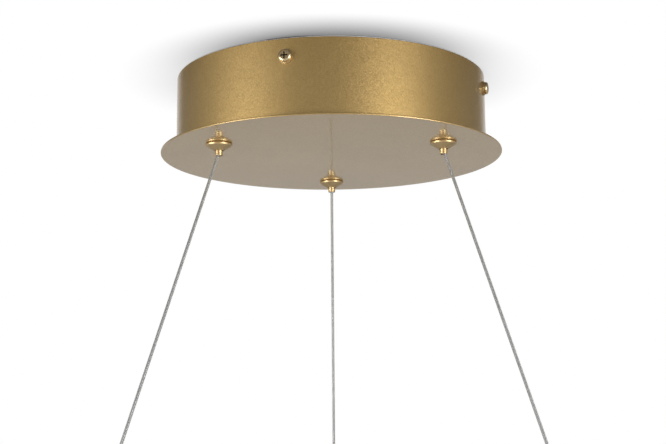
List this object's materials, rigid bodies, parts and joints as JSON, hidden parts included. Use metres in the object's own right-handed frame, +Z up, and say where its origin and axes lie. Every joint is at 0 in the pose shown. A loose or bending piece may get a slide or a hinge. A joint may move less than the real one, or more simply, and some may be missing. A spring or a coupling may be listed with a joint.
{
  "type": "led ring chandelier",
  "caption": "Ceiling lamp: a round gold canopy with cable grippers holds a level light ring on spreading taut steel cables that also carry its current",
  "frame": {"origin": "the middle of the bracket's two ceiling slots, on the bracket's face that lies on the ceiling; the lamp hangs below it", "axes": "+Z is up, into the ceiling; the two ceiling slots lie along X; one cable gripper is at +Y"},
  "size_m": [0.6, 0.5998, 0.7125],
  "materials": {
    "gold_paint": "fine-flake champagne gold lacquer, semi-gloss",
    "gold_brass": "turned brass, lacquered gold, glossy",
    "brass": "bright brass",
    "bright_steel": "bright hardened steel",
    "zinc_steel": "zinc-plated steel",
    "cable_steel": "twisted steel strands under a clear jacket",
    "splice_nylon": "nylon crimp sleeve",
    "white_plastic": "moulded white plastic",
    "board_green": "solder-masked circuit board",
    "black_plastic": "black wound and potted components",
    "brown_insulation": "brown lead insulation",
    "blue_insulation": "blue lead insulation",
    "green_insulation": "green and yellow lead insulation",
    "white_insulation": "white lead insulation",
    "aluminium": "plain aluminium",
    "strip_white": "white flexible circuit strip",
    "led_yellow": "phosphor-coated light chips",
    "opal_acrylic": "opal acrylic, satin"
  },
  "bodies": {
    "canopy": {"canopy_drum": "gold_paint", "bottom_plate": "gold_paint", "gripper_body_1": "gold_brass", "gripper_body_2": "gold_brass", "gripper_body_3": "gold_brass", "side_screws": "brass", "side_washers": "brass", "gripper_caps": "brass", "terminal_inserts": "brass", "plunger_spring_1": "bright_steel", "plunger_spring_2": "bright_steel", "plunger_spring_3": "bright_steel", "ceiling_bracket": "zinc_steel", "plate_nuts": "zinc_steel", "gripper_nuts": "zinc_steel", "driver_screws": "zinc_steel", "terminal_screws": "zinc_steel", "block_screw": "zinc_steel", "earth_screw": "zinc_steel", "cable_tail_1": "cable_steel", "cable_tail_2": "cable_steel", "cable_tail_3": "cable_steel", "cable_splices": "splice_nylon", "driver_case": "white_plastic", "driver_lid": "white_plastic", "driver_board": "board_green", "driver_components": "black_plastic", "terminal_block": "white_plastic", "live_lead": "brown_insulation", "neutral_lead": "blue_insulation", "earth_lead": "green_insulation", "output_lead_1": "white_insulation", "output_lead_2": "white_insulation", "output_lead_3": "white_insulation"},
    "plunger_1": {"plunger_1": "gold_brass", "gripper_balls_1": "bright_steel"},
    "plunger_2": {"plunger_2": "gold_brass", "gripper_balls_2": "bright_steel"},
    "plunger_3": {"plunger_3": "gold_brass", "gripper_balls_3": "bright_steel"},
    "cable_1": {"cable_1": "cable_steel", "ferrule_1": "bright_steel"},
    "cable_2": {"cable_2": "cable_steel", "ferrule_2": "bright_steel"},
    "cable_3": {"cable_3": "cable_steel", "ferrule_3": "bright_steel"},
    "ring": {"ring_profile": "gold_paint", "ring_joiner": "aluminium", "joiner_screws": "zinc_steel", "led_strip": "strip_white", "led_chips": "led_yellow", "diffuser": "opal_acrylic", "anchor_caps": "gold_paint", "anchor_bases": "brass", "anchor_bushes": "white_plastic", "anchor_insulators": "white_plastic", "anchor_nuts": "zinc_steel", "feed_leads": "white_insulation"}
  },
  "joints": [
    {"name": "plunger_1_press", "type": "slide", "parent": "canopy", "child": "plunger_1", "axis": [0, 0, 1], "range_m": [0, 0.002], "stiffness_N_per_m": 800, "springref_m": -0.002, "deforming": ["plunger_spring_1"]},
    {"name": "plunger_2_press", "type": "slide", "parent": "canopy", "child": "plunger_2", "axis": [0, 0, 1], "range_m": [0, 0.002], "stiffness_N_per_m": 800, "springref_m": -0.002, "deforming": ["plunger_spring_2"]},
    {"name": "plunger_3_press", "type": "slide", "parent": "canopy", "child": "plunger_3", "axis": [0, 0, 1], "range_m": [0, 0.002], "stiffness_N_per_m": 800, "springref_m": -0.002, "deforming": ["plunger_spring_3"]},
    {"name": "ring_swing", "type": "hinge", "parent": "canopy", "child": "ring", "pos_m": [0, 0, 0.18283], "axis": [0, 1, 0], "range_deg": [-3, 3]},
    {"name": "cable_1_lean", "type": "hinge", "parent": "canopy", "child": "cable_1", "pos_m": [0, 0.0808, -0.057], "axis": [0, 1, 0], "range_deg": [-4.5, 4.5]},
    {"name": "cable_2_lean", "type": "hinge", "parent": "canopy", "child": "cable_2", "pos_m": [-0.06997, -0.0404, -0.057], "axis": [0, 1, 0], "range_deg": [-4.5, 4.5]},
    {"name": "cable_3_lean", "type": "hinge", "parent": "canopy", "child": "cable_3", "pos_m": [0.06997, -0.0404, -0.057], "axis": [0, 1, 0], "range_deg": [-4.5, 4.5]}
  ],
  "couplings": [
    {"joint": "cable_1_lean", "follows": "ring_swing", "ratio": 1.39},
    {"joint": "cable_2_lean", "follows": "ring_swing", "ratio": 1.39},
    {"joint": "cable_3_lean", "follows": "ring_swing", "ratio": 1.39}
  ]
}
